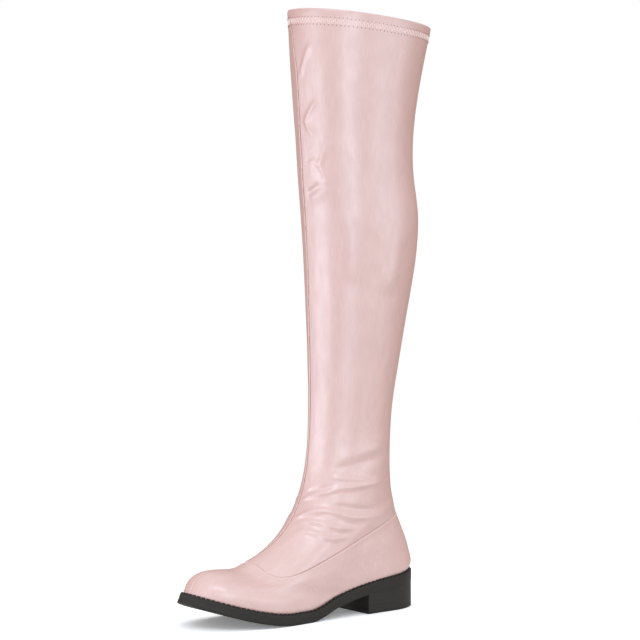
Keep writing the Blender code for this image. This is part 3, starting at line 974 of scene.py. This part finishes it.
def outsole_skin():
    edge = plan_offset(edge_ring(), LEDGE)
    sides = [lifted(edge, OUTSOLE_THICK + GAP / 2)]
    band = OUTSOLE_THICK - TOP_BAND
    for share in np.linspace(0, 1, ROUND_STEPS):
        sides.append(lifted(leaned(edge, share), band + (OUTSOLE_EDGE - band) * share))
    free = np.clip((along_sole(edge) - HEEL_LENGTH) / EDGE_STARTS, FLUSH, 1)
    for turn in np.linspace(0, np.pi / 2, ROUND_STEPS)[1:]:
        inset = plan_offset(edge, -OUTSOLE_EDGE * (1 - np.cos(turn)) * free)
        sides.append(lifted(leaned(inset, 1.0), OUTSOLE_EDGE * (1 - np.sin(turn))))
    half = SOLE_POINTS // 2
    outer = [side[:half + 1] for side in sides]
    inner = [np.roll(side[::-1], 1, axis=0)[:half + 1] for side in sides]
    loop = outer + across(outer[-1], inner[-1], 0.0, ACROSS) + inner[::-1]
    loop += across(inner[0], outer[0], OUTSOLE_THICK + GAP / 2, ACROSS)
    points = np.stack(loop, axis=1)
    return skin("outsole_skin", points, (sole_rubber,), uv_size=(0.18, 0.26))


outsole_piece = outsole_skin()
outsole_piece.data.set_sharp_from_angle(angle=np.radians(SOLE_CREASE))
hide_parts("outsole")

# %% [markdown]
# The welt is a narrow strip with a row of moulded stitches. It could be swept along a curve, but rings on
# the sole's edge keep its slope exactly. Each stitch is a small bevelled cube.

# %% Welt with its moulded stitches
WELT_ROUND = 0.6
WELT_LEAN = 0.3  # share of the sole's lean at the toe, carried on upwards
BUMP_PITCH = 5.0
BUMP_LENGTH = 3.2
BUMP_WIDTH = 1.7
BUMP_HEIGHT = 3.0
BUMP_ROUND = 0.45
BUMP_IN = 2.0  # how far in from the welt's edge the stitches run


def welt_skin():
    edge = edge_ring()
    base = OUTSOLE_THICK + GAP / 2
    top = OUTSOLE_THICK + GAP + WELT_THICK
    loop = [lifted(plan_offset(edge, LEDGE), base)]
    for turn in np.linspace(0, np.pi / 2, ROUND_STEPS):
        ring = plan_offset(edge, LEDGE - WELT_ROUND * (1 - np.cos(turn)))
        loop.append(lifted(leaned(ring, -WELT_LEAN), top - WELT_ROUND * (1 - np.sin(turn))))
    loop.append(lifted(plan_offset(edge, -WELT_INSIDE), top))
    loop.append(lifted(plan_offset(edge, -WELT_INSIDE), base))
    return skin("welt_skin", np.array(loop), (welt_rubber,), uv_size=(0.60, 0.02), round_rows=True)


def welt_stitches():
    line = lifted(plan_offset(edge_ring(), LEDGE - BUMP_IN), OUTSOLE_THICK + GAP + WELT_THICK)
    line = np.concatenate((line, line[:1]))
    bm = bmesh.new()
    for share in evenly(line, BUMP_PITCH)[:-1]:
        k = int(share)
        spot = line[k] + (line[k + 1] - line[k]) * (share - k)
        along = Vector(line[(k + 1) % SOLE_POINTS] - line[k - 1]).normalized()
        side = Vector((0, 0, 1)).cross(along).normalized()
        up = along.cross(side)
        matrix = placed(along * BUMP_LENGTH * MM, side * BUMP_WIDTH * MM, up * BUMP_HEIGHT * MM,
                        Vector(spot) * MM)
        bmesh.ops.create_cube(bm, size=1.0, matrix=matrix)
    bmesh.ops.bevel(bm, geom=bm.edges, offset=BUMP_ROUND * MM, affect="EDGES", segments=2, profile=0.5,
                    material=-1)
    bmesh.ops.recalc_face_normals(bm, faces=bm.faces)
    piece = add_piece("welt_stitches", smooth_mesh("welt_stitches", bm), (welt_rubber,))


welt_piece = welt_skin()
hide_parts("welt")
welt_piece.data.set_sharp_from_angle(angle=np.radians(SOLE_CREASE))
welt_stitches()

# %% [markdown]
# The heel is a block with a flat front. Its two sides run from the front corners to the tip at the back, as
# rows of points from the sole down to the floor, and a fan closes the front.

# %% Heel block
HEEL_EDGE = 0.7
HEEL_ROWS = 12
HEEL_ROUND_STEPS = 4
HEEL_CREASE = 40.0
SMALLEST = 1e-6  # keeps the tip, where the sides meet, from a division by nothing


def heel_sides():
    """The outer and the inner side in plan, from the front corner to the tip at the back."""
    edge = plan_offset(edge_ring(), LEDGE - HEEL_INSET)
    half = SOLE_POINTS // 2
    back = np.nonzero(along_sole(edge)[:half + 1] < HEEL_LENGTH)[0]
    outer, inner = edge[back], np.roll(edge[::-1], 1, axis=0)[back]
    for side in (outer, inner):
        side[0, 1] = HEEL_BACK_Y - HEEL_LENGTH
    return outer, inner


def heel_skin():
    outer, inner = heel_sides()
    middle = (outer + inner) / 2
    sides = []
    for side in (outer, inner):
        rows = []
        top = sole_bottom(along_sole(side)) - GAP / 2
        for share in np.linspace(0, 1, HEEL_ROWS):
            row = side.copy()
            row[:, 2] = top + (HEEL_EDGE - top) * share
            rows.append(row)
        pull = middle - side
        length = np.maximum(np.linalg.norm(pull, axis=1, keepdims=True), SMALLEST)
        for turn in np.linspace(0, np.pi / 2, HEEL_ROUND_STEPS)[1:]:
            row = side + pull / length * np.minimum(length, HEEL_EDGE * (1 - np.cos(turn)))
            row[:, 2] = HEEL_EDGE * (1 - np.sin(turn))
            rows.append(row)
        sides.append(rows)
    closed = np.stack(sides[0] + sides[1][::-1], axis=1)
    front = closed[:1]
    fan = np.broadcast_to(front.mean(axis=1, keepdims=True), front.shape)
    return skin("heel_skin", np.concatenate((fan, front, closed)), (heel_stack,), uv_size=(0.1, 0.07))


heel_piece = heel_skin()
heel_piece.data.set_sharp_from_angle(angle=np.radians(HEEL_CREASE))
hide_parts("heel_block")

# %% [markdown]
# ## The footbed
# The footbed lies deep inside and hardly shows, so its solid stays as it is and only gets a cloth finish.

# %% Footbed cloth
footbed = knit_lining("footbed_cloth")
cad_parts["insole"].data.materials.clear()
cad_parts["insole"].data.materials.append(footbed)
print("footbed has", footbed.name)

# %% [markdown]
# ## The floor
# The photo is lit to pure white, so the camera sees a floor that is brighter than paper and fades into the
# surround. A wide white floor would light the boot too much from below, so to the boot it is a white card on
# grey paper.

# %% Floor
FLOOR_RADIUS = 3.0
CARD_FROM = 0.30  # the card ends between these, in metres
CARD_TO = 0.60
FADE_FROM = 0.35  # and the floor fades out between these
FADE_TO = 1.1
SEEN_PAPER = (1.20, 1.27, 1.30, 1.0)  # a little blue, against the warm light from behind
GLOW = 0.15


def white_paper():
    """Bright paper to the camera and a card on grey paper to the boot, faded outwards."""
    material, tree, shader = start_material("white_paper", Roughness=0.9, Emission_Color=linear("#FFFFFF"))
    where = add_node(tree, "TexCoord").outputs["Object"]
    away = add_node(tree, "VectorMath", {0: where}, operation="LENGTH").outputs["Value"]
    beyond = add_node(tree, "MapRange", {"Value": away, "From Min": CARD_FROM, "From Max": CARD_TO})
    card = add_node(tree, "Mix", {
        "Factor": beyond.outputs["Result"], "A": linear("#E4E2E0"), "B": linear("#6E6C6A")},
        data_type="RGBA")
    seen = add_node(tree, "LightPath").outputs["Is Camera Ray"]
    colour = add_node(tree, "Mix", {
        "Factor": seen, "A": card.outputs[2], "B": SEEN_PAPER}, data_type="RGBA")
    tree.links.new(colour.outputs[2], shader.inputs["Base Color"])
    glow = add_node(tree, "Math", {0: seen, 1: GLOW}, operation="MULTIPLY")
    tree.links.new(glow.outputs["Value"], shader.inputs["Emission Strength"])
    share = add_node(tree, "MapRange", {
        "Value": away, "From Min": FADE_FROM, "From Max": FADE_TO, "To Min": 1.0, "To Max": 0.0},
        interpolation_type="SMOOTHSTEP")
    tree.links.new(share.outputs["Result"], shader.inputs["Alpha"])
    return material


def studio_floor():
    bm = bmesh.new()
    bmesh.ops.create_circle(bm, cap_ends=True, segments=96, radius=FLOOR_RADIUS)
    floor = bpy.data.objects.new("studio_floor", smooth_mesh("studio_floor", bm))
    bpy.context.scene.collection.objects.link(floor)
    floor.data.materials.append(white_paper())
    print("floor", FLOOR_RADIUS, "m")


studio_floor()

# %% [markdown]
# ## Light
# Satin leather shows its shape by what it mirrors. Wide strips of soft light in front of the toe, at the
# side and behind the heel give the soft bands on the leg, and a high one lights the crests of the folds.
# The surround is bright on the camera's side and warm and dim behind, which darkens the leg's edges.

# %% Lights
LIGHT_COLUMNS = ("name", "azimuth", "distance", "height", "width", "tall", "power", "colour")
LIGHTS = (
    ("toe_softbox", -24.0, 2.0, 0.16, 2.1, 0.32, 9.2, "#FCF8FF"),
    ("side_softbox", 60.0, 2.3, 0.30, 0.9, 0.26, 4.0, "#F6F6FF"),
    ("heel_softbox", 116.0, 1.9, 0.30, 1.3, 0.6, 3.2, "#FBFAFF"),
    ("high_softbox", 36.0, 1.5, 1.50, 1.3, 0.30, 6.0, "#F4F3FF"),
)
LOOK_AT = Vector((0.0, 0.02, 0.30))
FRONT_AZIMUTH = 58.0  # degrees round from the toe to the outer side, as for the lights
FRONT_HEIGHT = 1.4  # rise of the brightest direction for each step outwards
DIM_FROM = -0.5  # cosines of the angle to that direction
BRIGHT_FROM = 0.8


def studio_lights():
    for row in table(LIGHT_COLUMNS, LIGHTS):
        light = bpy.data.lights.new(row["name"], "AREA")
        light.shape = "RECTANGLE"
        light.size, light.size_y = row["width"], row["tall"]
        light.energy = row["power"]
        light.color = linear(row["colour"])[:3]
        lamp = bpy.data.objects.new(row["name"], light)
        turn = np.radians(row["azimuth"])
        lamp.location = LOOK_AT + Vector((np.sin(turn), -np.cos(turn), 0)) * row["distance"]
        lamp.location.z = row["height"]
        aim = LOOK_AT - lamp.location
        lamp.rotation_euler = aim.to_track_quat("-Z", "Y").to_euler()
        lamp.visible_camera = False
        bpy.context.scene.collection.objects.link(lamp)
        print(row["name"], row["power"], "W")


def surround(front, back, back_colour):
    """White to the camera. To all else a soft light, bright on the camera's side, warm and dim behind."""
    world = bpy.data.worlds.new("studio_surround")
    bpy.context.scene.world = world
    world.use_nodes = True
    tree = world.node_tree
    way = add_node(tree, "TexCoord").outputs["Generated"]
    turn = np.radians(FRONT_AZIMUTH)
    towards = Vector((np.sin(turn), -np.cos(turn), FRONT_HEIGHT)).normalized()
    facing = add_node(tree, "VectorMath", {0: way, 1: towards}, operation="DOT_PRODUCT").outputs["Value"]
    share = add_node(tree, "MapRange", {
        "Value": facing, "From Min": DIM_FROM, "From Max": BRIGHT_FROM}, interpolation_type="SMOOTHSTEP")
    behind = [back * value for value in linear(back_colour)[:3]] + [1.0]
    room = add_node(tree, "Mix", {
        "Factor": share.outputs["Result"], "A": behind, "B": (front, front, front, 1.0)}, data_type="RGBA")
    seen = add_node(tree, "LightPath").outputs["Is Camera Ray"]
    shown = add_node(tree, "Mix", {
        "Factor": seen, "A": room.outputs[2], "B": linear("#FFFFFF")}, data_type="RGBA")
    tree.links.new(shown.outputs[2], tree.nodes["Background"].inputs["Color"])


studio_lights()
surround(1.09, 0.40, "#FFD4C6")

# %% [markdown]
# ## The camera
# The camera looks at the outer side from a little in front and above, as the photo's did. A long lens from
# some way off keeps upright lines almost parallel.

# %% Camera
CAMERA_AT = Vector((1.9918, -1.4978, 0.4498))
CAMERA_TO = Vector((0.0066, 0.0130, 0.2869))
LENS = 146.0
SENSOR = 36.0


def photo_camera():
    data = bpy.data.cameras.new("photo_camera")
    data.lens = LENS
    data.sensor_width = SENSOR
    camera = bpy.data.objects.new("photo_camera", data)
    camera.location = CAMERA_AT
    camera.rotation_euler = (CAMERA_TO - CAMERA_AT).to_track_quat("-Z", "Y").to_euler()
    bpy.context.scene.collection.objects.link(camera)
    bpy.context.scene.camera = camera
    print("camera", round((CAMERA_TO - CAMERA_AT).length, 2), "m away")


photo_camera()
bpy.context.scene.view_settings.view_transform = "Standard"
